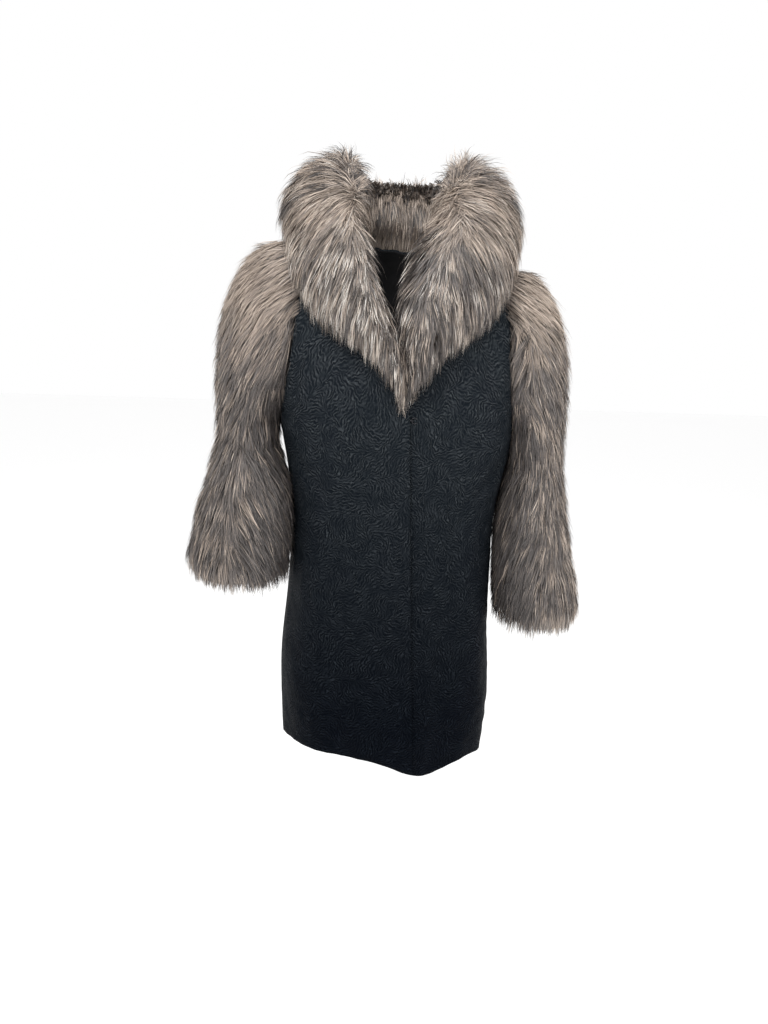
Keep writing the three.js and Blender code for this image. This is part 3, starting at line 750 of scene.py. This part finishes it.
# Painted light: the band round the cuff is painted paler where it bulges towards the light.
CUFF_BULGE_LIGHT = {"left": 0.12, "right": 0.05}  # how much paler the band of the cuff is
DARKER = {"left": 0.02, "right": 0.05}
NEAR_SEAM = 0.014  # hairs this close to the lamb lie down on the armhole's seam
SLEEVE_LAYERS = (
    (9000, (0.026, 0.036), (-0.011, -0.005), (0.0019, 0.0027), 0.3, 0.006, SHORT_TAPER),
    (18500, (0.036, 0.05), (-0.007, 0.0), (0.0009, 0.0015), 0.68, 0.0055, LONG_TAPER),
    (9000, (0.04, 0.056), (-0.003, 0.004), (0.0005, 0.0009), 0.4, 0.008, LONG_TAPER),
)
panel_edge = KDTree(sum(len(sheet.data.vertices) for sheet in lamb_sheets))
for sheet in lamb_sheets:
    for vert in sheet.data.vertices:
        panel_edge.insert(vert.co, vert.index)
panel_edge.balance()


def off_the_panels(points):
    """How far each point is from the lamb."""
    return np.array([panel_edge.find(p)[2] for p in points])


def sleeve_half(side, seed):
    """Pile and skin of one sleeve."""
    rng = np.random.default_rng(seed)
    pelt = Pelt("sleeve_" + side, levels=1)
    line = SLEEVE_LINES[side]
    outward = 1 if side == "left" else -1
    heights, outer_swing, inner_swing = SWINGS[side]
    cuff = pelt.points[:, 2].min()
    pile = Pile(rng)

    def shown(points, facing):
        """The outside, but not the ring that is sewn to the armhole."""
        _, away, _ = follow(points, line)
        outside = (away * facing).sum(axis=1) > 0.3 * np.linalg.norm(away, axis=1)
        ring = (facing[:, 0] * outward < -0.45) & (points[:, 2] > -0.12)
        return outside & ~ring

    for layer, (count, lengths, stands, widths, clump, gather, taper) in enumerate(SLEEVE_LAYERS):
        place, facing = pelt.scatter(shown, count, rng)
        _, away, heading = follow(place, line)
        inner = np.interp(away[:, 0] * outward, (-0.02, 0.02), (1, 0)) * (facing[:, 1] < 0.3)
        height = place[:, 2]
        swing = np.interp(height, heights, outer_swing) * (1 - inner)
        swing += np.interp(height, heights, inner_swing) * inner
        way = heading + np.outer(swing * outward, (1, 0, 0))
        way += swirls(place, 18, (3, 1, seed)) * 0.25 + swirls(place, 110, (seed, 0, 5)) * 0.35
        off_panels = off_the_panels(place)
        at_seam = off_panels < NEAR_SEAM
        way[:, 0] -= outward * 0.3 * at_seam * (facing[:, 1] < 0)
        way = unit_rows(laid_on(way, facing))
        way = hanging(way, np.interp(-facing[:, 2], (0.1, 0.5), (0, 0.85)))

        length = rng.uniform(*lengths, count) * np.interp(height - cuff, (0, 0.05), (0.7, 1))
        stand = rng.uniform(*stands, count)
        at_body = facing[:, 0] * outward < -0.3
        beside = at_body & (facing[:, 1] < 0.25) & (height < -0.27) & (height > cuff + 0.02)
        reach = np.minimum(rng.uniform(0.002, 0.013, count), np.maximum(off_panels - 0.0015, 0))
        stand = np.where(beside, reach, stand)
        stand = np.where(at_body & ~beside, np.minimum(stand, 0) - 0.001, stand)
        stand = np.where(at_seam, rng.uniform(0.0, 0.006, count), stand)
        stand += np.interp(height, (-0.28, -0.14), (0, 0.007)) * (facing[:, 0] * outward > 0.2)
        beyond = length * np.where(beside, rng.uniform(0.2, 0.8, count), 0.12)
        beyond = np.where(at_seam, rng.uniform(0.2, 0.5, count) * length, beyond)
        beyond += np.interp(height - cuff, (0.0, 0.02), (0.007, 0))
        shaggy = (rng.random(count) < 0.3) & (layer == 2) & (height > -0.16) & ~at_body
        beyond += shaggy * rng.uniform(0.2, 0.5, count) * length
        tip = place + way * beyond[:, None] + facing * stand[:, None]

        light = rng.random(count) < (0.06, 0.2, 0.36)[layer]
        tone = np.where(light, rng.uniform(0.5, 0.74, count), rng.uniform(0.16, 0.4, count))
        soft = (0.4, 0.56, 0.6)[layer] + rng.normal(size=count) * 0.06
        shoulder = np.interp(height, (-0.2, -0.09), (0, 1))
        tone = tone * (1 - shoulder) + soft * shoulder
        # Painted shade: the pile that turns towards the body is darker.
        tone -= np.interp(facing[:, 0] * outward, (-0.8, -0.2), (0.14, 0))
        # Painted light and shadow: the bulging band round the cuff is paler, and the ring above it,
        # in the crease, is painted darker as its shadow.
        tone += np.interp(height - cuff, (0.035, 0.045, 0.052, 0.06), (CUFF_BULGE_LIGHT[side], -0.1, -0.1, 0))
        tone -= DARKER[side]
        if layer == 0:
            tone *= 0.7
        pile.grow(
            tip, facing, way, 0.83 * length + beyond, 0.012 + stand, rng.uniform(*widths, count),
            np.maximum(tone, 0.1), clump, gather, taper,
        )
    _, away, _ = follow(pelt.points, line)
    lining = (away * pelt.normals).sum(axis=1) < 0
    inside = KDTree(int(lining.sum()))
    for k in np.flatnonzero(lining):
        inside.insert(pelt.points[k], int(k))
    inside.balance()
    wall = np.array([inside.find(p)[2] for p in pelt.points])
    depth = np.where(lining, 0, np.clip(wall - 0.005, 0, 0.014))
    depth *= np.interp(off_the_panels(pelt.points), (0.002, 0.008), (0, 1))
    shift = -pelt.normals * depth[:, None]
    shift[:, 2] += np.interp(pelt.points[:, 2] - cuff, (0, 0.03), (0.014, 0))
    return pile.mesh("sleeve_pile_" + side), pelt.skin(shift, wall=0)


for side, seed in (("left", 21), ("right", 22)):
    hairs, skin = sleeve_half(side, seed)
    pile = piece_of(f"sleeve_pile_{side}", hairs, [guard_hair], [])
    leather = piece_of(f"sleeve_skin_{side}", skin, [under_fur], ["sleeve_" + side])

# Closure: a hook and an eye of blackened spring steel, sewn on by hand under the collar's tips.
# The solids are the finished shapes; only the steel's rubbed finish is added.
wire = Finish("closure_steel")
rub = wire.speckle(wire.spot(), 700.0, 3.0)
steel = wire.done(
    {
        "Base Color": wire.blend(rub, paint(24, 24, 26), paint(70, 70, 73)),
        "Metallic": 1.0,
        "Roughness": 0.25 + 0.2 * rub,
    }
)
for node in ("closure_hook", "closure_eye"):
    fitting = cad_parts[node]
    fitting.data.materials.clear()
    fitting.data.materials.append(steel)

# Studio: a plain pale floor far below the hem and an even white backdrop, with a soft key light
# from the front, a weaker fill from the wearer's left and a light from behind.
FLOOR_Z = -1.47
pale_floor = Finish("pale_floor").done({"Base Color": (0.97, 0.97, 0.97, 1), "Roughness": 0.8})
bm = bmesh.new()
bmesh.ops.create_grid(bm, x_segments=1, y_segments=1, size=8)
bmesh.ops.translate(bm, verts=bm.verts, vec=(0, 0, FLOOR_Z))
floor_mesh = bpy.data.meshes.new("floor")
bm.to_mesh(floor_mesh)
bm.free()
floor_mesh.materials.append(pale_floor)
floor = bpy.data.objects.new("floor", floor_mesh)
bpy.context.collection.objects.link(floor)

world = bpy.data.worlds.new("studio")
world.use_nodes = True
backdrop = world.node_tree.nodes["Background"].inputs
backdrop["Color"].default_value = (1, 1, 1, 1)
backdrop["Strength"].default_value = 1.0
bpy.context.scene.world = world
bpy.context.scene.view_settings.view_transform = "Standard"

for name, spot, aim, size, power in (
    ("key", (-0.55, -1.35, 1.3), (0, 0, -0.1), 1.3, 36),
    ("fill", (1.6, -1.2, 0.5), (0, 0, -0.4), 1.6, 11),
    ("back", (0.5, 1.7, 1.1), (0, 0, -0.2), 1.6, 20),
):
    light = bpy.data.lights.new(name, "AREA")
    light.shape = "DISK"
    light.size = size
    light.energy = power
    lamp = bpy.data.objects.new(name, light)
    lamp.location = spot
    lamp.rotation_euler = (Vector(aim) - Vector(spot)).to_track_quat("-Z", "Y").to_euler()
    bpy.context.collection.objects.link(lamp)
